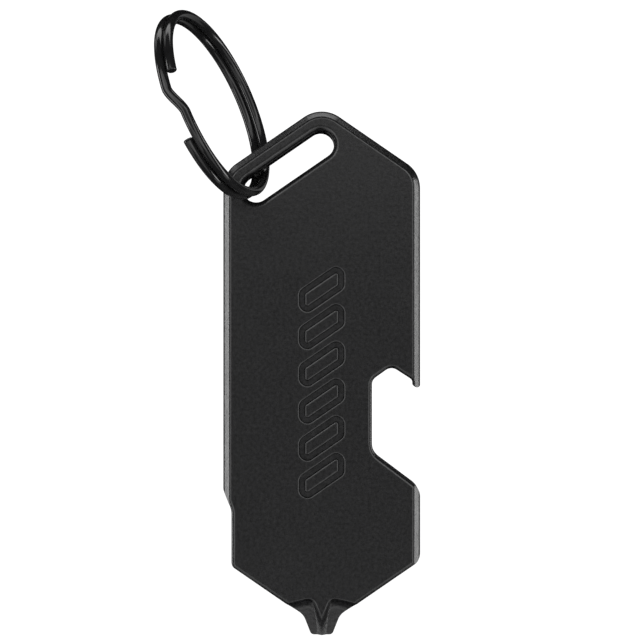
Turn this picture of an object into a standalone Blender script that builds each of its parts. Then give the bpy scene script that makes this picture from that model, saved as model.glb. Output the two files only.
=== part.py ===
"""Keychain bottle opener: a one-piece steel tool on a split ring.

The tool stands upright in the XZ plane, its front face towards -Y. The origin is the middle of the
driver tip's end face. The split ring passes through the slot beside the tool's slanted top edge.
"""

import math

import bmesh
import bpy
from mathutils import Matrix, Vector

MM = 0.001

# Plate outline
PLATE_LENGTH = 70.0 * MM
PLATE_HALF_WIDTH = 13.18 * MM
PLATE_THICKNESS = 3.5 * MM
SLOPE = math.radians(34.5)
APEX_RADIUS = 4.2 * MM
SHOULDER_RADIUS = 4.0 * MM
STEP_HALF_WIDTH = 12.03 * MM
STEP_TOP = 19.5 * MM
STEP_FOOT = 16.8 * MM
STEP_TOP_RADIUS = 0.5 * MM
STEP_FOOT_RADIUS = 3.0 * MM
LOWER_LEFT_RADIUS = 1.0 * MM
LOWER_RIGHT_RADIUS = 1.9 * MM
ARC_STEP = math.radians(12.0)

# Edges of the plate's faces
WIDE_CHAMFER = 1.0 * MM
EDGE_BREAK = 0.3 * MM

# Cap-lifter notch in the right edge
NOTCH_WALL = 6.7 * MM
NOTCH_WALL_TOP = 34.1 * MM
NOTCH_WALL_FOOT = 24.45 * MM
NOTCH_PEAK = (9.27 * MM, 35.93 * MM)
NOTCH_SILL = 19.6 * MM
HOOK_ROOT_HEIGHT = 34.0 * MM
HOOK_TIP_HEIGHT = 33.1 * MM
HOOK_TIP_WIDTH = 0.93 * MM
NOTCH_WALL_TOP_RADIUS = 1.2 * MM
NOTCH_WALL_FOOT_RADIUS = 2.5 * MM
NOTCH_PEAK_RADIUS = 1.3 * MM
NOTCH_SILL_RADIUS = 2.6 * MM
HOOK_ROOT_RADIUS = 0.6 * MM

# Ring slot, measured between the centres of its round ends
SLOT_FOOT = (-8.73 * MM, 59.57 * MM)
SLOT_SPAN = 10.4 * MM
SLOT_HALF_WIDTH = 1.79 * MM
SLOT_ROUNDING = 0.8 * MM
ROUNDING_STEPS = 3
SLOT_END_STEPS = 12

# Cross-point driver tip; heights are above its end face
TIP_NECK = (2.45 * MM, 2.69 * MM)
TIP_NECK_RADIUS = 2.2 * MM
TIP_END_HALF_WIDTH = 1.41 * MM
TIP_END_RADIUS = 0.6 * MM
FLUTE_TOP = 5.25 * MM
FLUTE_TOP_FALL = 0.216
FLUTE_CORNER_RADIUS = 0.8 * MM
FLUTE_REACH = 7.0 * MM
FLUTE_LEVELS = 4
WING_HALF_THICKNESS = 0.4 * MM
WING_TAPER = 0.09
RIB_BASE_HALF_WIDTH = 0.62 * MM
RIB_BASE_FLARE = 0.12
RIB_FACE_POINT = 1.87 * MM
RIB_FACE_FLARE = 0.41

# Split ring
RING_RADIUS = 12.14 * MM
WIRE_RADIUS = 0.62 * MM
RING_CENTRE = (-13.87 * MM, -4.60 * MM, 69.99 * MM)
RING_AXIS = (0.89, -0.327, 0.318)
COIL_OFFSET = 0.65 * MM
WIRE_START = math.radians(9.0)
CROSSOVER_START = math.radians(345.0)
CROSSOVER_END = math.radians(360.0)
WIRE_END = math.radians(689.5)
WIRE_STEP = math.radians(5.0)

# The tool swings about the middle line of the bar between the slot and the slanted top edge
BAR_MIDDLE_ABOVE_SLOT_MIDDLE = 3.09 * MM
PIVOT = (
    SLOT_FOOT[0] - BAR_MIDDLE_ABOVE_SLOT_MIDDLE * math.sin(SLOPE),
    0.0,
    SLOT_FOOT[1] + BAR_MIDDLE_ABOVE_SLOT_MIDDLE * math.cos(SLOPE),
)

CUTTER_MARGIN = 0.5 * MM


def clear_scene():
    for obj in list(bpy.data.objects):
        bpy.data.objects.remove(obj, do_unlink=True)


def make_material(name, colour, roughness, metallic):
    material = bpy.data.materials.new(name)
    material.use_nodes = True
    shader = material.node_tree.nodes["Principled BSDF"]
    shader.inputs["Base Color"].default_value = (*colour, 1.0)
    shader.inputs["Roughness"].default_value = roughness
    shader.inputs["Metallic"].default_value = metallic
    return material


def add_object(name, data):
    obj = bpy.data.objects.new(name, data)
    bpy.context.collection.objects.link(obj)
    return obj


def rounded_corner(previous, corner, following, radius, steps=None):
    """The arc that rounds a corner, as points from the incoming side to the outgoing one."""
    corner = Vector(corner)
    to_previous = (Vector(previous) - corner).normalized()
    to_following = (Vector(following) - corner).normalized()
    half_angle = to_previous.angle(to_following) / 2
    centre = corner + (to_previous + to_following).normalized() * radius / math.sin(half_angle)
    start = corner + to_previous * radius / math.tan(half_angle) - centre
    sweep = math.pi - 2 * half_angle
    if to_previous.cross(to_following) > 0:
        sweep = -sweep
    count = steps or max(2, math.ceil(abs(sweep) / ARC_STEP))
    points = []
    for index in range(count + 1):
        turn = Matrix.Rotation(sweep * index / count, 2)
        points.append(centre + turn @ start)
    return points


def shoulder_height():
    apex = PLATE_LENGTH + APEX_RADIUS * (1 / math.cos(SLOPE) - 1)
    return apex - PLATE_HALF_WIDTH * math.tan(SLOPE)


def plate_outline():
    """The plate's outline clockwise from the left shoulder, as (x, z) points."""
    left, right, step = -PLATE_HALF_WIDTH, PLATE_HALF_WIDTH, -STEP_HALF_WIDTH
    shoulder = shoulder_height()
    apex = shoulder + PLATE_HALF_WIDTH * math.tan(SLOPE)
    hook = right - HOOK_TIP_WIDTH
    hook_radius = 0.48 * HOOK_TIP_WIDTH
    neck_x, neck_z = TIP_NECK
    corners = [
        ((left, shoulder), SHOULDER_RADIUS),
        ((0.0, apex), APEX_RADIUS),
        ((right, shoulder), SHOULDER_RADIUS),
        ((right, HOOK_TIP_HEIGHT), hook_radius),
        ((hook, HOOK_TIP_HEIGHT), hook_radius),
        ((hook, HOOK_ROOT_HEIGHT), HOOK_ROOT_RADIUS),
        (NOTCH_PEAK, NOTCH_PEAK_RADIUS),
        ((NOTCH_WALL, NOTCH_WALL_TOP), NOTCH_WALL_TOP_RADIUS),
        ((NOTCH_WALL, NOTCH_WALL_FOOT), NOTCH_WALL_FOOT_RADIUS),
        ((right, NOTCH_SILL), NOTCH_SILL_RADIUS),
        ((right, neck_z + (right - neck_x) * math.tan(SLOPE)), LOWER_RIGHT_RADIUS),
        ((neck_x, neck_z), TIP_NECK_RADIUS),
        ((TIP_END_HALF_WIDTH, 0.0), TIP_END_RADIUS),
        ((-TIP_END_HALF_WIDTH, 0.0), TIP_END_RADIUS),
        ((-neck_x, neck_z), TIP_NECK_RADIUS),
        ((step, neck_z + (-step - neck_x) * math.tan(SLOPE)), LOWER_LEFT_RADIUS),
        ((step, STEP_FOOT), STEP_FOOT_RADIUS),
        ((left, STEP_TOP), STEP_TOP_RADIUS),
    ]
    return round_corners(corners, closed=True)


def round_corners(corners, closed):
    """Points along a path whose corners, given as ((x, z), radius), are rounded by arcs."""
    points = []
    for index, (corner, radius) in enumerate(corners):
        at_end = index in (0, len(corners) - 1)
        if at_end and not closed:
            points.append(Vector(corner))
            continue
        previous = corners[index - 1][0]
        following = corners[(index + 1) % len(corners)][0]
        points += rounded_corner(previous, corner, following, radius)
    return points


def outward_normals(points, closed):
    """Mitred outward directions of a clockwise path; their length keeps an offset edge parallel."""
    normals = []
    count = len(points)
    for index, point in enumerate(points):
        before = points[index - 1] if closed or index > 0 else point
        after = points[(index + 1) % count] if closed or index < count - 1 else point
        sides = [side.normalized() for side in (point - before, after - point) if side.length > 0]
        outward = [Vector((-side.y, side.x)) for side in sides]
        mitre = (outward[0] + outward[-1]).normalized()
        normals.append(mitre / mitre.dot(outward[0]))
    return normals


def loft(name, sections):
    """A closed mesh through sections of equally many points, with a cap at both ends."""
    mesh_data = bmesh.new()
    rings = [[mesh_data.verts.new(point) for point in section] for section in sections]
    size = len(rings[0])
    mesh_data.faces.new(rings[0])
    mesh_data.faces.new(rings[-1])
    for lower, upper in zip(rings, rings[1:]):
        for index in range(size):
            following = (index + 1) % size
            mesh_data.faces.new((lower[index], lower[following], upper[following], upper[index]))
    bmesh.ops.recalc_face_normals(mesh_data, faces=mesh_data.faces)
    mesh = bpy.data.meshes.new(name)
    mesh_data.to_mesh(mesh)
    mesh_data.free()
    return mesh


def plate_blank():
    """The extruded outline with a small break on both faces' edges."""
    outline = plate_outline()
    normals = outward_normals(outline, closed=True)
    half = PLATE_THICKNESS / 2
    sections = []
    levels = ((-half, EDGE_BREAK), (EDGE_BREAK - half, 0.0), (half - EDGE_BREAK, 0.0), (half, EDGE_BREAK))
    for y, inset in levels:
        flat = [point - normal * inset for point, normal in zip(outline, normals)]
        sections.append([(point.x, y, point.y) for point in flat])
    return loft("opener_body", sections)


def rim_chamfer_cutter(name, path, side):
    """A three-sided bar along the rim, whose inner face is the 45 degree chamfer of one face."""
    reach = WIDE_CHAMFER + CUTTER_MARGIN
    face = side * PLATE_THICKNESS / 2
    profile = (
        (-reach, face + side * CUTTER_MARGIN),
        (CUTTER_MARGIN, face - side * reach),
        (CUTTER_MARGIN, face + side * CUTTER_MARGIN),
    )
    sections = []
    for point, normal in zip(path, outward_normals(path, closed=False)):
        section = []
        for out, y in profile:
            place = point + normal * out
            section.append((place.x, y, place.y))
        sections.append(section)
    return loft(name, sections)


def upper_rim_path():
    """From below the left step, over the top, to below the hook tip."""
    shoulder = shoulder_height()
    apex = shoulder + PLATE_HALF_WIDTH * math.tan(SLOPE)
    return round_corners([
        ((-PLATE_HALF_WIDTH, STEP_FOOT - CUTTER_MARGIN), 0.0),
        ((-PLATE_HALF_WIDTH, shoulder), SHOULDER_RADIUS),
        ((0.0, apex), APEX_RADIUS),
        ((PLATE_HALF_WIDTH, shoulder), SHOULDER_RADIUS),
        ((PLATE_HALF_WIDTH, HOOK_TIP_HEIGHT - CUTTER_MARGIN), 0.0),
    ], closed=False)


def lower_rim_path():
    """Down the right edge below the notch, straight across both of its corners."""
    lowest = TIP_NECK[1] + (PLATE_HALF_WIDTH - TIP_NECK[0]) * math.tan(SLOPE) - LOWER_RIGHT_RADIUS
    return [Vector((PLATE_HALF_WIDTH, NOTCH_WALL_FOOT)), Vector((PLATE_HALF_WIDTH, lowest))]


def slot_section(y, offset):
    """The slot's outline at one depth, grown by an offset."""
    radius = SLOT_HALF_WIDTH + offset
    foot = Vector(SLOT_FOOT)
    head = foot + Vector((math.cos(SLOPE), math.sin(SLOPE))) * SLOT_SPAN
    points = []
    for centre, start in ((head, SLOPE - math.pi / 2), (foot, SLOPE + math.pi / 2)):
        for index in range(SLOT_END_STEPS + 1):
            angle = start + math.pi * index / SLOT_END_STEPS
            points.append((centre.x + radius * math.cos(angle), y, centre.y + radius * math.sin(angle)))
    return points


def slot_cutter():
    """The slot's hollow, which opens out in a quarter round at both faces."""
    half = PLATE_THICKNESS / 2
    levels = [(half + CUTTER_MARGIN, SLOT_ROUNDING)]
    for index in range(ROUNDING_STEPS + 1):
        angle = math.pi / 2 * index / ROUNDING_STEPS
        depth = SLOT_ROUNDING * (1 - math.cos(angle))
        levels.append((half - depth, SLOT_ROUNDING * (1 - math.sin(angle))))
    sections = [slot_section(-y, offset) for y, offset in levels]
    sections += [slot_section(y, offset) for y, offset in reversed(levels)]
    return loft("slot_cutter", sections)


def flute_section(share, overshoot):
    """One layer of a flute, from the wing's surface (share 0) to the plate's face (share 1)."""
    top = FLUTE_TOP - PLATE_THICKNESS / 2 + WING_HALF_THICKNESS
    rise = (FLUTE_TOP - top) * math.sqrt(1 - (1 - share) ** 2)
    bottom = -CUTTER_MARGIN

    def flank(z):
        base = RIB_BASE_HALF_WIDTH + RIB_BASE_FLARE * z
        face = RIB_FACE_FLARE * (z - RIB_FACE_POINT)
        return base + (face - base) * share

    corner_z = top + rise - FLUTE_TOP_FALL * flank(top + rise)
    corner = (flank(corner_z), corner_z)
    foot = (flank(bottom), bottom)
    outer = (FLUTE_REACH, top + rise - FLUTE_TOP_FALL * FLUTE_REACH)
    outline = [Vector(foot)]
    outline += rounded_corner(foot, corner, outer, FLUTE_CORNER_RADIUS, FLUTE_LEVELS)
    outline += [Vector(outer), Vector((FLUTE_REACH, bottom))]
    points = []
    for point in outline:
        wing = WING_HALF_THICKNESS + WING_TAPER * max(point.y, 0.0)
        y = wing + (PLATE_THICKNESS / 2 - wing) * share + overshoot
        points.append((point.x, y, point.y))
    return points


def flute_cutter(name, x_side, y_side):
    """The hollow between a wing and a rib of the driver tip, with a round run-out at its top."""
    shares = [1 - math.cos(math.pi / 2 * index / FLUTE_LEVELS) for index in range(FLUTE_LEVELS + 1)]
    sections = [flute_section(share, 0.0) for share in shares]
    sections.append(flute_section(1.0, CUTTER_MARGIN))
    placed = [[(x * x_side, y * y_side, z) for x, y, z in section] for section in sections]
    return loft(name, placed)


def cut(body, cutter_mesh):
    """Subtracts a hidden cutter from the body."""
    cutter = add_object(cutter_mesh.name, cutter_mesh)
    cutter.hide_render = True
    cutter.display_type = "WIRE"
    modifier = body.modifiers.new(cutter.name, "BOOLEAN")
    modifier.operation = "DIFFERENCE"
    modifier.solver = "EXACT"
    modifier.object = cutter


def build_opener_body():
    mesh = plate_blank()
    mesh.transform(Matrix.Translation(-Vector(PIVOT)))
    mesh.materials.append(make_material("black_steel", (0.022, 0.022, 0.023), 0.42, 0.3))
    body = add_object("opener_body", mesh)
    body.location = PIVOT
    for label, side in (("front", -1), ("back", 1)):
        cut(body, rim_chamfer_cutter(f"upper_rim_{label}", upper_rim_path(), side))
        cut(body, rim_chamfer_cutter(f"lower_rim_{label}", lower_rim_path(), side))
        cut(body, flute_cutter(f"left_flute_{label}", -1, side))
        cut(body, flute_cutter(f"right_flute_{label}", 1, side))
    cut(body, slot_cutter())


def coil_side(angle):
    """+1 on the wire's first turn, -1 on its second, easing over at the crossover."""
    share = (angle - CROSSOVER_START) / (CROSSOVER_END - CROSSOVER_START)
    share = min(max(share, 0.0), 1.0)
    eased = share * share * (3 - 2 * share)
    return 1 - share - eased


def wire_point(angle):
    """A point of the wire's middle line, by the angle it has turned from the ring's near side."""
    axis = Vector(RING_AXIS).normalized()
    near = axis.cross(Vector((0.0, 0.0, 1.0))).normalized()
    up = near.cross(axis)
    radial = near * math.cos(angle) + up * math.sin(angle)
    return Vector(RING_CENTRE) + radial * RING_RADIUS + axis * COIL_OFFSET * coil_side(angle)


def build_split_ring():
    """One round wire wound nearly twice round, its ends on either side of the crossover."""
    curve = bpy.data.curves.new("split_ring", "CURVE")
    curve.dimensions = "3D"
    curve.bevel_depth = WIRE_RADIUS
    curve.bevel_resolution = 3
    curve.use_fill_caps = True
    count = math.ceil((WIRE_END - WIRE_START) / WIRE_STEP)
    spline = curve.splines.new("POLY")
    spline.points.add(count)
    for index, point in enumerate(spline.points):
        angle = WIRE_START + (WIRE_END - WIRE_START) * index / count
        point.co = (*wire_point(angle), 1.0)
    curve.materials.append(make_material("black_wire", (0.012, 0.012, 0.013), 0.18, 0.6))
    add_object("split_ring", curve)


def main():
    clear_scene()
    build_opener_body()
    build_split_ring()


main()
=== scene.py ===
"""Looks of the keychain bottle opener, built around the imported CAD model.

Lengths are in metres, and named sizes are written in millimetres times MM. The tool stands in the XZ
plane with its front face towards -Y, and the split ring hangs it by the slot at its upper left.
"""

import math

import bmesh
import bpy
from mathutils import Matrix, Vector


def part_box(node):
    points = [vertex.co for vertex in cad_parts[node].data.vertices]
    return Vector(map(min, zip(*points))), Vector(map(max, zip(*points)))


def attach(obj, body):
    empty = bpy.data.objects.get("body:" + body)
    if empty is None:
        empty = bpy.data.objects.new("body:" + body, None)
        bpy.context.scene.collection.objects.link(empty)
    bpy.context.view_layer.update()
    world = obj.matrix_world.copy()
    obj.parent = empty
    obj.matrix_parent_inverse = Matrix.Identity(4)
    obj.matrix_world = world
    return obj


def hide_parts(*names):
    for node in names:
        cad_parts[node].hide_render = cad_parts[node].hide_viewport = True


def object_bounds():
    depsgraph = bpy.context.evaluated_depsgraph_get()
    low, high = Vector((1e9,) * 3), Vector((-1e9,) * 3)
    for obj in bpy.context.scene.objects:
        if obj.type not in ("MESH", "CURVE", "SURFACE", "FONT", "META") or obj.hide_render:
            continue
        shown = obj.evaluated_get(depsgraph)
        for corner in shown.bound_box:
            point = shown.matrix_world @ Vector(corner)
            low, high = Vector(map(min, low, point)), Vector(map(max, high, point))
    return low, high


MM = 0.001

# Plate outline
SLOPE = math.radians(34.5)
APEX_RADIUS = 4.2 * MM
SHOULDER_RADIUS = 4.0 * MM
STEP_HALF_WIDTH = 12.03 * MM
STEP_TOP = 19.5 * MM
STEP_FOOT = 16.8 * MM
STEP_TOP_RADIUS = 0.5 * MM
STEP_FOOT_RADIUS = 3.0 * MM
LOWER_LEFT_RADIUS = 1.0 * MM
LOWER_RIGHT_RADIUS = 1.9 * MM
ARC_STEP = math.radians(4.0)

# Edges of the plate's faces
WIDE_CHAMFER = 1.0 * MM
INNER_EASING = 0.6 * MM
OUTER_EASING = 0.9 * MM
EASING_STEPS = 6
EDGE_ROUNDING = 0.6 * MM
EDGE_STEPS = 7

# Cap-lifter notch in the right edge
NOTCH_WALL = 6.7 * MM
NOTCH_WALL_TOP = 34.1 * MM
NOTCH_WALL_FOOT = 24.45 * MM
NOTCH_PEAK = (9.27 * MM, 35.93 * MM)
NOTCH_SILL = 19.6 * MM
HOOK_ROOT_HEIGHT = 34.0 * MM
HOOK_TIP_HEIGHT = 33.1 * MM
HOOK_TIP_WIDTH = 0.93 * MM
HOOK_TIP_RADIUS = 0.48 * HOOK_TIP_WIDTH
NOTCH_WALL_TOP_RADIUS = 1.2 * MM
NOTCH_WALL_FOOT_RADIUS = 2.5 * MM
NOTCH_PEAK_RADIUS = 1.3 * MM
NOTCH_SILL_RADIUS = 2.6 * MM
HOOK_ROOT_RADIUS = 0.6 * MM

# Ring slot, measured between the centres of its round ends
SLOT_FOOT = (-8.73 * MM, 59.57 * MM)
SLOT_SPAN = 10.4 * MM
SLOT_HALF_WIDTH = 1.79 * MM
SLOT_ROUNDING = 0.8 * MM
SLOT_ROUNDING_STEPS = 9
SLOT_END_STEPS = 36

# Cross-point driver tip; heights are above its end face
TIP_NECK = (2.45 * MM, 2.69 * MM)
TIP_NECK_RADIUS = 2.2 * MM
TIP_END_HALF_WIDTH = 1.41 * MM
TIP_END_RADIUS = 0.6 * MM
FLUTE_TOP = 5.25 * MM
FLUTE_TOP_FALL = 0.216
FLUTE_CORNER_RADIUS = 0.8 * MM
FLUTE_REACH = 7.0 * MM
FLUTE_LEVELS = 12
FLUTE_CORNER_STEPS = 10
FLUTE_LIP = 0.4 * MM
FLUTE_LIP_STEPS = 7
WING_HALF_THICKNESS = 0.4 * MM
WING_TAPER = 0.09
RIB_BASE_HALF_WIDTH = 0.62 * MM
RIB_BASE_FLARE = 0.12
RIB_FACE_POINT = 1.87 * MM
RIB_FACE_FLARE = 0.41

# Debossed grip motif: slanted bars, each outlined by a shallow channel
MOTIF_BARS = 6
MOTIF_LOWEST = 21.4 * MM
MOTIF_PITCH = 4.95 * MM
MOTIF_HALF_WIDTH = 2.6 * MM
MOTIF_HALF_HEIGHT = 1.4 * MM
MOTIF_CORNER_RADIUS = 0.7 * MM
CHANNEL_HALF_WIDTH = 0.65 * MM
CHANNEL_LIP = 0.22 * MM
CHANNEL_LIP_DEPTH = 0.1 * MM
CHANNEL_WALL = 0.13 * MM
CHANNEL_DEPTH = 0.32 * MM

# Split ring
RING_RADIUS = 12.14 * MM
WIRE_RADIUS = 0.62 * MM
RING_CENTRE = (-13.87 * MM, -4.60 * MM, 69.99 * MM)
RING_AXIS = (0.89, -0.327, 0.318)
COIL_OFFSET = 0.65 * MM
WIRE_START = math.radians(9.0)
CROSSOVER_START = math.radians(345.0)
CROSSOVER_END = math.radians(360.0)
WIRE_END = math.radians(689.5)
WIRE_STEP = math.radians(1.5)
WIRE_SIDES = 28
WIRE_END_CHAMFER = 0.1 * MM

# Cutters reach past the plate by the margin, and stay off its own faces by the sliver
CUTTER_MARGIN = 0.5 * MM
SLIVER = 0.002 * MM

# Edges that turn by more than these degrees stay crisp
TOOL_SHARP_ANGLE = 32.0
RING_SHARP_ANGLE = 30.0
FLAT_FACE_WEIGHT = 80

# Coating: noise scales are per metre, and the noise's middle range carries the whole change
NOISE_LOW = 0.3
NOISE_HIGH = 0.7
PEEL_STRETCH = (1.0, 1.0, 1.15)
PEEL_DEPTH = 0.02 * MM

# Camera: its distance to the plate, and the width that it takes in there
CAMERA_DISTANCE = 150.0 * MM
VIEW_WIDTH = 85.8 * MM
VIEW_CENTRE = (0.04 * MM, 41.82 * MM)
VIEW_PLANE_DEPTH = -1.2 * MM
SENSOR_WIDTH = 36.0
CLIP_START = 0.01
CLIP_END = 20.0

# Studio
LIGHT_DISTANCE = 0.6
SURROUND_STRENGTH = 1.12
FLOOR_WHITE = 0.96
FLOOR_GAP = 0.8
FLOOR_SIZE = 12.0


def rounded_corner(previous, corner, following, radius, steps=None):
    """The arc that rounds a corner, as points from the incoming side to the outgoing one."""
    corner = Vector(corner)
    to_previous = (Vector(previous) - corner).normalized()
    to_following = (Vector(following) - corner).normalized()
    half_angle = to_previous.angle(to_following) / 2
    centre = corner + (to_previous + to_following).normalized() * radius / math.sin(half_angle)
    start = corner + to_previous * radius / math.tan(half_angle) - centre
    sweep = math.pi - 2 * half_angle
    if to_previous.cross(to_following) > 0:
        sweep = -sweep
    count = steps or max(2, math.ceil(abs(sweep) / ARC_STEP))
    points = []
    for index in range(count + 1):
        turn = Matrix.Rotation(sweep * index / count, 2)
        points.append(centre + turn @ start)
    return points


def round_corners(corners, closed):
    """Points along a path whose corners, given as ((x, z), radius), are rounded by arcs."""
    points = []
    for index, (corner, radius) in enumerate(corners):
        at_end = index in (0, len(corners) - 1)
        if at_end and not closed:
            points.append(Vector(corner))
            continue
        previous = corners[index - 1][0]
        following = corners[(index + 1) % len(corners)][0]
        points += rounded_corner(previous, corner, following, radius)
    return points


def outward_normals(points, closed):
    """Mitred outward directions of a clockwise path; their length keeps an offset edge parallel."""
    normals = []
    count = len(points)
    for index, point in enumerate(points):
        before = points[index - 1] if closed or index > 0 else point
        after = points[(index + 1) % count] if closed or index < count - 1 else point
        sides = [side.normalized() for side in (point - before, after - point) if side.length > 0]
        outward = [Vector((-side.y, side.x)) for side in sides]
        mitre = (outward[0] + outward[-1]).normalized()
        normals.append(mitre / mitre.dot(outward[0]))
    return normals


def loft(name, groups, closed_path=False):
    """A mesh of one or more bodies, each a list of sections; capped unless the path closes on itself."""
    mesh_data = bmesh.new()
    for sections in groups:
        rings = [[mesh_data.verts.new(point) for point in section] for section in sections]
        pairs = list(zip(rings, rings[1:]))
        if closed_path:
            pairs.append((rings[-1], rings[0]))
        else:
            mesh_data.faces.new(rings[0])
            mesh_data.faces.new(rings[-1])
        size = len(rings[0])
        for lower, upper in pairs:
            for index in range(size):
                following = (index + 1) % size
                mesh_data.faces.new((lower[index], lower[following], upper[following], upper[index]))
    bmesh.ops.recalc_face_normals(mesh_data, faces=mesh_data.faces)
    mesh = bpy.data.meshes.new(name)
    mesh_data.to_mesh(mesh)
    mesh_data.free()
    return mesh


def add_object(name, data):
    obj = bpy.data.objects.new(name, data)
    bpy.context.scene.collection.objects.link(obj)
    return obj


# ---- the tool ----


def upper_corners():
    """The roof's three corners, from the left shoulder over the apex to the right one."""
    apex = plate_length + APEX_RADIUS * (1 / math.cos(SLOPE) - 1)
    shoulder = apex - half_width * math.tan(SLOPE)
    return [
        ((-half_width, shoulder), SHOULDER_RADIUS),
        ((0.0, apex), APEX_RADIUS),
        ((half_width, shoulder), SHOULDER_RADIUS),
    ]


def lower_corner_height(x):
    """Where a side at distance x from the middle meets the slanted lower edge."""
    return TIP_NECK[1] + (x - TIP_NECK[0]) * math.tan(SLOPE)


def plate_outline():
    """The plate's outline clockwise from the left shoulder, as (x, z) points."""
    hook = half_width - HOOK_TIP_WIDTH
    neck_x, neck_z = TIP_NECK
    corners = upper_corners() + [
        ((half_width, HOOK_TIP_HEIGHT), HOOK_TIP_RADIUS),
        ((hook, HOOK_TIP_HEIGHT), HOOK_TIP_RADIUS),
        ((hook, HOOK_ROOT_HEIGHT), HOOK_ROOT_RADIUS),
        (NOTCH_PEAK, NOTCH_PEAK_RADIUS),
        ((NOTCH_WALL, NOTCH_WALL_TOP), NOTCH_WALL_TOP_RADIUS),
        ((NOTCH_WALL, NOTCH_WALL_FOOT), NOTCH_WALL_FOOT_RADIUS),
        ((half_width, NOTCH_SILL), NOTCH_SILL_RADIUS),
        ((half_width, lower_corner_height(half_width)), LOWER_RIGHT_RADIUS),
        ((neck_x, neck_z), TIP_NECK_RADIUS),
        ((TIP_END_HALF_WIDTH, 0.0), TIP_END_RADIUS),
        ((-TIP_END_HALF_WIDTH, 0.0), TIP_END_RADIUS),
        ((-neck_x, neck_z), TIP_NECK_RADIUS),
        ((-STEP_HALF_WIDTH, lower_corner_height(STEP_HALF_WIDTH)), LOWER_LEFT_RADIUS),
        ((-STEP_HALF_WIDTH, STEP_FOOT), STEP_FOOT_RADIUS),
        ((-half_width, STEP_TOP), STEP_TOP_RADIUS),
    ]
    return round_corners(corners, closed=True)


def plate_blank():
    """The extruded outline, its edges rounded on both faces."""
    outline = plate_outline()
    normals = outward_normals(outline, closed=True)
    levels = []
    for index in range(EDGE_STEPS + 1):
        angle = math.pi / 2 * index / EDGE_STEPS
        depth = EDGE_ROUNDING * (1 - math.cos(angle))
        levels.append((half_thickness - depth, EDGE_ROUNDING * (1 - math.sin(angle))))
    both_faces = [(-y, inset) for y, inset in levels] + list(reversed(levels))
    sections = []
    for y, inset in both_faces:
        flat = [point - normal * inset for point, normal in zip(outline, normals)]
        sections.append([(point.x, y, point.y) for point in flat])
    return loft("tool_body", [sections])


def chamfer_profile():
    """The rim cutter's section as (outwards, above the face): a 45 degree chamfer eased at both ends."""
    inner_reach = WIDE_CHAMFER + INNER_EASING * math.tan(math.pi / 8)
    outer_reach = WIDE_CHAMFER + OUTER_EASING * math.tan(math.pi / 8)
    inner_arc = []
    outer_arc = []
    for index in range(EASING_STEPS + 1):
        angle = math.pi / 4 * index / EASING_STEPS
        along, drop = math.sin(angle), 1 - math.cos(angle)
        inner_arc.append((-inner_reach + INNER_EASING * along, SLIVER - INNER_EASING * drop))
        outer_arc.append((SLIVER - OUTER_EASING * drop, -outer_reach + OUTER_EASING * along))
    edge = CUTTER_MARGIN
    ends = [(edge, -outer_reach), (edge, edge)]
    return [(-inner_reach, edge)] + inner_arc + list(reversed(outer_arc)) + ends


def rim_chamfer_cutter(name, path, side):
    """A bar along the rim, whose inner side is the wide chamfer of one face."""
    profile = chamfer_profile()
    sections = []
    for point, normal in zip(path, outward_normals(path, closed=False)):
        section = []
        for out, above in profile:
            place = point + normal * out
            section.append((place.x, side * (half_thickness + above), place.y))
        sections.append(section)
    return loft(name, [sections])


def upper_rim_path():
    """From below the left step, over the top, to below the hook tip."""
    low_left = ((-half_width, STEP_FOOT - CUTTER_MARGIN), 0.0)
    low_right = ((half_width, HOOK_TIP_HEIGHT - CUTTER_MARGIN), 0.0)
    return round_corners([low_left] + upper_corners() + [low_right], closed=False)


def lower_rim_path():
    """Down the right edge below the notch, straight across both of its corners."""
    lowest = lower_corner_height(half_width) - LOWER_RIGHT_RADIUS
    return [Vector((half_width, NOTCH_WALL_FOOT)), Vector((half_width, lowest))]


def slot_section(y, offset):
    """The slot's outline at one depth, grown by an offset."""
    radius = SLOT_HALF_WIDTH + offset
    foot = Vector(SLOT_FOOT)
    head = foot + Vector((math.cos(SLOPE), math.sin(SLOPE))) * SLOT_SPAN
    points = []
    for centre, start in ((head, SLOPE - math.pi / 2), (foot, SLOPE + math.pi / 2)):
        for index in range(SLOT_END_STEPS + 1):
            angle = start + math.pi * index / SLOT_END_STEPS
            points.append((centre.x + radius * math.cos(angle), y, centre.y + radius * math.sin(angle)))
    return points


def slot_cutter():
    """The slot's hollow, which opens out in a quarter round at both faces."""
    levels = [(half_thickness + CUTTER_MARGIN, SLOT_ROUNDING + SLIVER)]
    for index in range(SLOT_ROUNDING_STEPS + 1):
        angle = math.pi / 2 * index / SLOT_ROUNDING_STEPS
        depth = SLOT_ROUNDING * (1 - math.cos(angle)) - SLIVER
        levels.append((half_thickness - depth, SLOT_ROUNDING * (1 - math.sin(angle))))
    sections = [slot_section(-y, offset) for y, offset in levels]
    sections += [slot_section(y, offset) for y, offset in reversed(levels)]
    return loft("slot_cutter", [sections])


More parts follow.
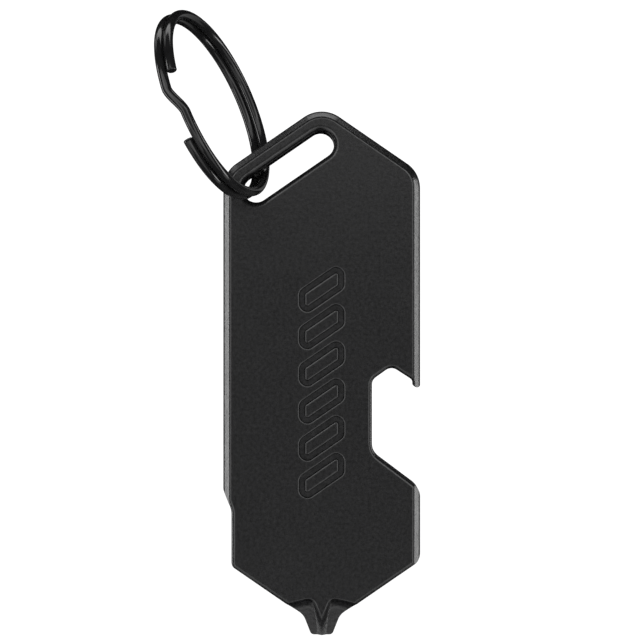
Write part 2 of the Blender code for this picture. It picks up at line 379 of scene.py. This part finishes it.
def flute_section(share, y_out, grow):
    """One layer of a flute, from the wing's surface (share 0) to the foot of its lip (share 1).

    The lip's own layers lie farther out by y_out and are wider by grow.
    """
    top = FLUTE_TOP - half_thickness + WING_HALF_THICKNESS
    rise = (FLUTE_TOP - top) * math.sqrt(1 - (1 - share) ** 2)
    bottom = -2 * CUTTER_MARGIN

    def flank(z):
        base = RIB_BASE_HALF_WIDTH + RIB_BASE_FLARE * z
        face = RIB_FACE_FLARE * (z - RIB_FACE_POINT)
        return base + (face - base) * share

    corner_z = top + rise - FLUTE_TOP_FALL * flank(top + rise)
    corner = (flank(corner_z), corner_z)
    foot = (flank(bottom), bottom)
    outer = (FLUTE_REACH, top + rise - FLUTE_TOP_FALL * FLUTE_REACH)
    outline = [Vector(foot)]
    outline += rounded_corner(foot, corner, outer, FLUTE_CORNER_RADIUS, FLUTE_CORNER_STEPS)
    outline.append(Vector(outer))
    normals = outward_normals(outline, closed=False)
    outline = [point + normal * grow for point, normal in zip(outline, normals)]
    outline.append(Vector((FLUTE_REACH, bottom)))
    points = []
    for point in outline:
        wing = WING_HALF_THICKNESS + WING_TAPER * max(point.y, 0.0)
        y = wing + (half_thickness - FLUTE_LIP - wing) * share + y_out
        points.append((point.x, y, point.y))
    return points


def flute_cutter(name, x_side, y_side):
    """The hollow between a wing and a rib of the driver tip, its top a round run-out with a soft lip."""
    sections = []
    for index in range(FLUTE_LEVELS + 1):
        share = 1 - math.cos(math.pi / 2 * index / FLUTE_LEVELS)
        sections.append(flute_section(share, 0.0, 0.0))
    for index in range(1, FLUTE_LIP_STEPS + 1):
        angle = math.pi / 2 * index / FLUTE_LIP_STEPS
        grow = FLUTE_LIP * (1 - math.cos(angle))
        sections.append(flute_section(1.0, FLUTE_LIP * math.sin(angle) + SLIVER, grow))
    sections.append(flute_section(1.0, FLUTE_LIP + CUTTER_MARGIN, FLUTE_LIP))
    placed = [[(x * x_side, y * y_side, z) for x, y, z in section] for section in sections]
    return loft(name, [placed])


def motif_path(middle):
    """The middle line of one bar's channel, clockwise from its lower left corner."""
    side = MOTIF_HALF_WIDTH
    rise = side * math.tan(SLOPE)
    corners = [
        ((-side, middle - rise - MOTIF_HALF_HEIGHT), MOTIF_CORNER_RADIUS),
        ((-side, middle - rise + MOTIF_HALF_HEIGHT), MOTIF_CORNER_RADIUS),
        ((side, middle + rise + MOTIF_HALF_HEIGHT), MOTIF_CORNER_RADIUS),
        ((side, middle + rise - MOTIF_HALF_HEIGHT), MOTIF_CORNER_RADIUS),
    ]
    return round_corners(corners, closed=True)


def motif_cutter():
    """All the bars' channels: gently sloped lips, steeper walls and a flat floor."""
    above_face = CHANNEL_HALF_WIDTH + CHANNEL_LIP
    lip_end = CHANNEL_HALF_WIDTH - CHANNEL_LIP
    floor_edge = lip_end - CHANNEL_WALL
    half_profile = [
        (above_face, -CHANNEL_LIP_DEPTH),
        (lip_end, CHANNEL_LIP_DEPTH),
        (floor_edge, CHANNEL_DEPTH),
    ]
    profile = [(-out, deep) for out, deep in half_profile] + list(reversed(half_profile))
    loops = []
    for index in range(MOTIF_BARS):
        path = motif_path(MOTIF_LOWEST + MOTIF_PITCH * index)
        sections = []
        for point, normal in zip(path, outward_normals(path, closed=True)):
            section = []
            for out, deep in profile:
                place = point + normal * out
                section.append((place.x, deep - half_thickness, place.y))
            sections.append(section)
        loops.append(sections)
    return loft("motif_cutter", loops, closed_path=True)


def cut(body, cutter_mesh):
    """Subtracts a cutter from the body's mesh for good."""
    cutter = add_object(cutter_mesh.name, cutter_mesh)
    modifier = body.modifiers.new(cutter_mesh.name, "BOOLEAN")
    modifier.operation = "DIFFERENCE"
    modifier.solver = "MANIFOLD"
    modifier.object = cutter
    bpy.context.view_layer.update()
    evaluated = body.evaluated_get(bpy.context.evaluated_depsgraph_get())
    result = bpy.data.meshes.new_from_object(evaluated)
    body.modifiers.clear()
    body.data = result
    bpy.data.objects.remove(cutter)


def clean_mesh(mesh, distance):
    """Merges the slivers and drops the empty material slots that the cuts leave."""
    mesh.materials.clear()
    mesh_data = bmesh.new()
    mesh_data.from_mesh(mesh)
    bmesh.ops.remove_doubles(mesh_data, verts=mesh_data.verts, dist=distance)
    bmesh.ops.dissolve_degenerate(mesh_data, edges=mesh_data.edges, dist=distance)
    mesh_data.to_mesh(mesh)
    mesh_data.free()


def shade_by_angle(obj, degrees):
    """Smooth shading that keeps real corners crisp and large faces flat."""
    obj.data.shade_smooth()
    obj.data.set_sharp_from_angle(angle=math.radians(degrees))
    weighted = obj.modifiers.new("flat_faces_lead", "WEIGHTED_NORMAL")
    weighted.mode = "FACE_AREA"
    weighted.weight = FLAT_FACE_WEIGHT
    weighted.keep_sharp = True


def build_tool_body():
    """The whole tool: the plate, cut by its chamfers, flutes, slot and motif."""
    body = add_object("tool_body", plate_blank())
    for label, side in (("front", -1), ("back", 1)):
        cut(body, rim_chamfer_cutter(f"upper_rim_{label}", upper_rim_path(), side))
        cut(body, rim_chamfer_cutter(f"lower_rim_{label}", lower_rim_path(), side))
        cut(body, flute_cutter(f"left_flute_{label}", -1, side))
        cut(body, flute_cutter(f"right_flute_{label}", 1, side))
    cut(body, slot_cutter())
    cut(body, motif_cutter())
    clean_mesh(body.data, SLIVER / 2)
    shade_by_angle(body, TOOL_SHARP_ANGLE)
    return body


# ---- the split ring ----


def coil_side(angle):
    """+1 on the wire's first turn, -1 on its second, easing over at the crossover."""
    share = (angle - CROSSOVER_START) / (CROSSOVER_END - CROSSOVER_START)
    share = min(max(share, 0.0), 1.0)
    eased = share * share * (3 - 2 * share)
    return 1 - share - eased


def wire_point(angle):
    """A point of the wire's middle line, by the angle it has turned from the ring's near side."""
    axis = Vector(RING_AXIS).normalized()
    near = axis.cross(Vector((0.0, 0.0, 1.0))).normalized()
    up = near.cross(axis)
    radial = near * math.cos(angle) + up * math.sin(angle)
    return Vector(RING_CENTRE) + radial * RING_RADIUS + axis * COIL_OFFSET * coil_side(angle)


def wire_section(angle, radius, shift):
    """A round section of the wire, square to its run and moved along it by a shift."""
    step = WIRE_STEP / 4
    run = (wire_point(angle + step) - wire_point(angle - step)).normalized()
    axis = Vector(RING_AXIS).normalized()
    across = run.cross(axis).normalized()
    other = run.cross(across)
    middle = wire_point(angle) + run * shift
    points = []
    for index in range(WIRE_SIDES):
        turn = 2 * math.pi * index / WIRE_SIDES
        points.append(middle + (across * math.cos(turn) + other * math.sin(turn)) * radius)
    return points


def build_ring_wire():
    """One round wire wound nearly twice round, its cut ends lightly chamfered."""
    count = math.ceil((WIRE_END - WIRE_START) / WIRE_STEP)
    end_radius = WIRE_RADIUS - WIRE_END_CHAMFER
    sections = [wire_section(WIRE_START, end_radius, 0.0)]
    sections.append(wire_section(WIRE_START, WIRE_RADIUS, WIRE_END_CHAMFER))
    for index in range(1, count):
        angle = WIRE_START + (WIRE_END - WIRE_START) * index / count
        sections.append(wire_section(angle, WIRE_RADIUS, 0.0))
    sections.append(wire_section(WIRE_END, WIRE_RADIUS, -WIRE_END_CHAMFER))
    sections.append(wire_section(WIRE_END, end_radius, 0.0))
    ring = add_object("ring_wire", loft("ring_wire", [sections]))
    shade_by_angle(ring, RING_SHARP_ANGLE)
    return ring


# ---- materials ----


def new_material(name):
    """A new material, with its nodes, links and shader."""
    material = bpy.data.materials.new(name)
    material.use_nodes = True
    nodes = material.node_tree.nodes
    return material, nodes, material.node_tree.links, nodes["Principled BSDF"]


def noise(nodes, links, coordinates, scale, detail, roughness, stretch=(1.0, 1.0, 1.0)):
    """A noise texture on the object's own coordinates, stretched along its axes."""
    mapping = nodes.new("ShaderNodeMapping")
    mapping.inputs["Scale"].default_value = stretch
    links.new(coordinates, mapping.inputs["Vector"])
    texture = nodes.new("ShaderNodeTexNoise")
    texture.inputs["Scale"].default_value = scale
    texture.inputs["Detail"].default_value = detail
    texture.inputs["Roughness"].default_value = roughness
    links.new(mapping.outputs["Vector"], texture.inputs["Vector"])
    return texture.outputs["Fac"]


def remap(nodes, links, value, low, high):
    """Carries a noise value's middle range to the range from low to high."""
    node = nodes.new("ShaderNodeMapRange")
    node.inputs["From Min"].default_value = NOISE_LOW
    node.inputs["From Max"].default_value = NOISE_HIGH
    node.inputs["To Min"].default_value = low
    node.inputs["To Max"].default_value = high
    links.new(value, node.inputs["Value"])
    return node.outputs["Result"]


def colour_between(nodes, links, factor, first, second):
    """A colour that follows a noise value from the first colour to the second."""
    ramp = nodes.new("ShaderNodeValToRGB")
    ramp.color_ramp.elements[0].position = NOISE_LOW
    ramp.color_ramp.elements[0].color = (*first, 1.0)
    ramp.color_ramp.elements[1].position = NOISE_HIGH
    ramp.color_ramp.elements[1].color = (*second, 1.0)
    links.new(factor, ramp.inputs["Fac"])
    return ramp.outputs["Color"]


def bump(nodes, links, height, distance):
    """A bump whose full height is the given distance."""
    node = nodes.new("ShaderNodeBump")
    node.inputs["Strength"].default_value = 1.0
    node.inputs["Distance"].default_value = distance
    links.new(height, node.inputs["Height"])
    return node.outputs["Normal"]


def satin_black_coating():
    """Baked black coating on steel: satin, with a faint orange-peel skin and a fine grain."""
    material, nodes, links, shader = new_material("satin_black_coating")
    place = nodes.new("ShaderNodeTexCoord").outputs["Object"]
    patches = noise(nodes, links, place, 300.0, 4.0, 0.6)
    peel = noise(nodes, links, place, 1700.0, 5.0, 0.6, PEEL_STRETCH)
    mottle = noise(nodes, links, place, 2300.0, 4.0, 0.65)
    base = colour_between(nodes, links, mottle, (0.001, 0.001, 0.0011), (0.0088, 0.0088, 0.0092))
    links.new(base, shader.inputs["Base Color"])
    links.new(remap(nodes, links, patches, 0.2, 0.25), shader.inputs["Roughness"])
    links.new(bump(nodes, links, peel, PEEL_DEPTH), shader.inputs["Normal"])
    return material


def gloss_black_wire():
    """Black-plated spring wire: glossy, with small changes in gloss."""
    material, nodes, links, shader = new_material("gloss_black_wire")
    place = nodes.new("ShaderNodeTexCoord").outputs["Object"]
    patches = noise(nodes, links, place, 420.0, 3.0, 0.5)
    base = colour_between(nodes, links, patches, (0.004, 0.004, 0.0042), (0.006, 0.006, 0.0062))
    links.new(base, shader.inputs["Base Color"])
    links.new(remap(nodes, links, patches, 0.09, 0.14), shader.inputs["Roughness"])
    shader.inputs["IOR"].default_value = 1.42
    return material


# ---- stage ----


def pale_floor():
    """A white floor well below the tool, left out of reflections."""
    material, _, _, shader = new_material("pale_floor")
    shader.inputs["Base Color"].default_value = (FLOOR_WHITE, FLOOR_WHITE, FLOOR_WHITE, 1.0)
    shader.inputs["Roughness"].default_value = 0.9
    shader.inputs["Specular IOR Level"].default_value = 0.0
    half = FLOOR_SIZE / 2
    corners = [(-half, -half, 0.0), (half, -half, 0.0), (half, half, 0.0), (-half, half, 0.0)]
    mesh = bpy.data.meshes.new("floor")
    mesh.from_pydata(corners, [], [(0, 1, 2, 3)])
    mesh.materials.append(material)
    floor = add_object("floor", mesh)
    floor.location.z = cad_box[0].z - FLOOR_GAP
    floor.visible_glossy = False


def soft_box(name, azimuth, elevation, width, height, radiance):
    """A rectangular light that faces the tool's middle, hidden from the camera.

    The azimuth is 0 in front of the tool and positive to its right; the angles are in degrees.
    """
    light = bpy.data.lights.new(name, "AREA")
    light.shape = "RECTANGLE"
    light.size = width
    light.size_y = height
    light.energy = radiance * math.pi * width * height
    turn = math.radians(azimuth)
    rise = math.radians(elevation)
    direction = Vector((
        math.sin(turn) * math.cos(rise),
        -math.cos(turn) * math.cos(rise),
        math.sin(rise),
    ))
    obj = add_object(name, light)
    obj.location = Vector((0.0, 0.0, VIEW_CENTRE[1])) + direction * LIGHT_DISTANCE
    obj.rotation_euler = (math.pi / 2 - rise, 0.0, turn)
    obj.visible_camera = False


def studio_lights():
    """Bright boxes at both sides and dimmer ones all round, in an even white surround.

    The surround is left out of reflections, which show the boxes alone.
    """
    soft_box("left_box", -92, -2, 0.11, 0.6, 7.4)
    soft_box("right_box", 92, -2, 0.11, 0.6, 6.9)
    soft_box("left_foot_box", -92, -45, 0.11, 0.36, 1.2)
    soft_box("right_foot_box", 92, -45, 0.11, 0.36, 1.0)
    soft_box("top_box", 180, 83, 0.6, 0.15, 2.8)
    soft_box("upper_left_box", -105, 48, 0.2, 0.16, 1.3)
    soft_box("front_box", 0, 0, 0.45, 0.5, 0.27)
    soft_box("front_high_box", 0, 20, 0.7, 0.24, 0.4)
    soft_box("front_left_box", -37, 2, 0.3, 0.8, 1.9)
    soft_box("front_right_box", 37, 2, 0.3, 0.8, 1.9)
    soft_box("front_top_box", 0, 36, 0.7, 0.24, 1.7)
    soft_box("front_low_box", 0, -35, 0.5, 0.2, 1.3)
    soft_box("low_left_box", -45, -42, 0.34, 0.4, 0.9)
    soft_box("low_right_box", 45, -42, 0.34, 0.4, 0.9)
    soft_box("back_left_box", -140, -6, 0.3, 0.7, 0.35)
    soft_box("back_right_box", 140, -6, 0.3, 0.7, 0.35)
    soft_box("back_box", 180, 20, 0.4, 0.3, 0.2)
    world = bpy.data.worlds.new("studio")
    world.use_nodes = True
    background = world.node_tree.nodes["Background"]
    background.inputs["Color"].default_value = (1.0, 1.0, 1.0, 1.0)
    background.inputs["Strength"].default_value = SURROUND_STRENGTH
    world.cycles_visibility.glossy = False
    bpy.context.scene.world = world


def photo_camera():
    """A camera square to the front face, which takes in the view's width at the plate."""
    camera = bpy.data.cameras.new("photo_camera")
    camera.type = "PERSP"
    camera.sensor_width = SENSOR_WIDTH
    camera.lens = SENSOR_WIDTH * CAMERA_DISTANCE / VIEW_WIDTH
    camera.clip_start = CLIP_START
    camera.clip_end = CLIP_END
    obj = add_object("photo_camera", camera)
    obj.location = (VIEW_CENTRE[0], VIEW_PLANE_DEPTH - CAMERA_DISTANCE, VIEW_CENTRE[1])
    obj.rotation_euler = (math.pi / 2, 0.0, 0.0)
    bpy.context.scene.camera = obj


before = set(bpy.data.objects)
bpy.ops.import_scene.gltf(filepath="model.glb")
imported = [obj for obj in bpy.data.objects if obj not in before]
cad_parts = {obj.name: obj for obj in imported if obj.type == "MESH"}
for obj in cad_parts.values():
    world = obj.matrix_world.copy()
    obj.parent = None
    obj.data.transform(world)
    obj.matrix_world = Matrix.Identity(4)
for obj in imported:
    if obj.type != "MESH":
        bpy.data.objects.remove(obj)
cad_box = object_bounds()
plate_low, plate_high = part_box("opener_body")
half_width = (plate_high.x - plate_low.x) / 2
half_thickness = (plate_high.y - plate_low.y) / 2
plate_length = plate_high.z - plate_low.z

photo_camera()
studio_lights()
pale_floor()

tool_body = build_tool_body()
tool_body.data.materials.append(satin_black_coating())
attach(tool_body, "opener")
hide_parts("opener_body")

ring_wire = build_ring_wire()
ring_wire.data.materials.append(gloss_black_wire())
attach(ring_wire, "ring")
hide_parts("split_ring")

bpy.context.scene.view_settings.view_transform = "Standard"
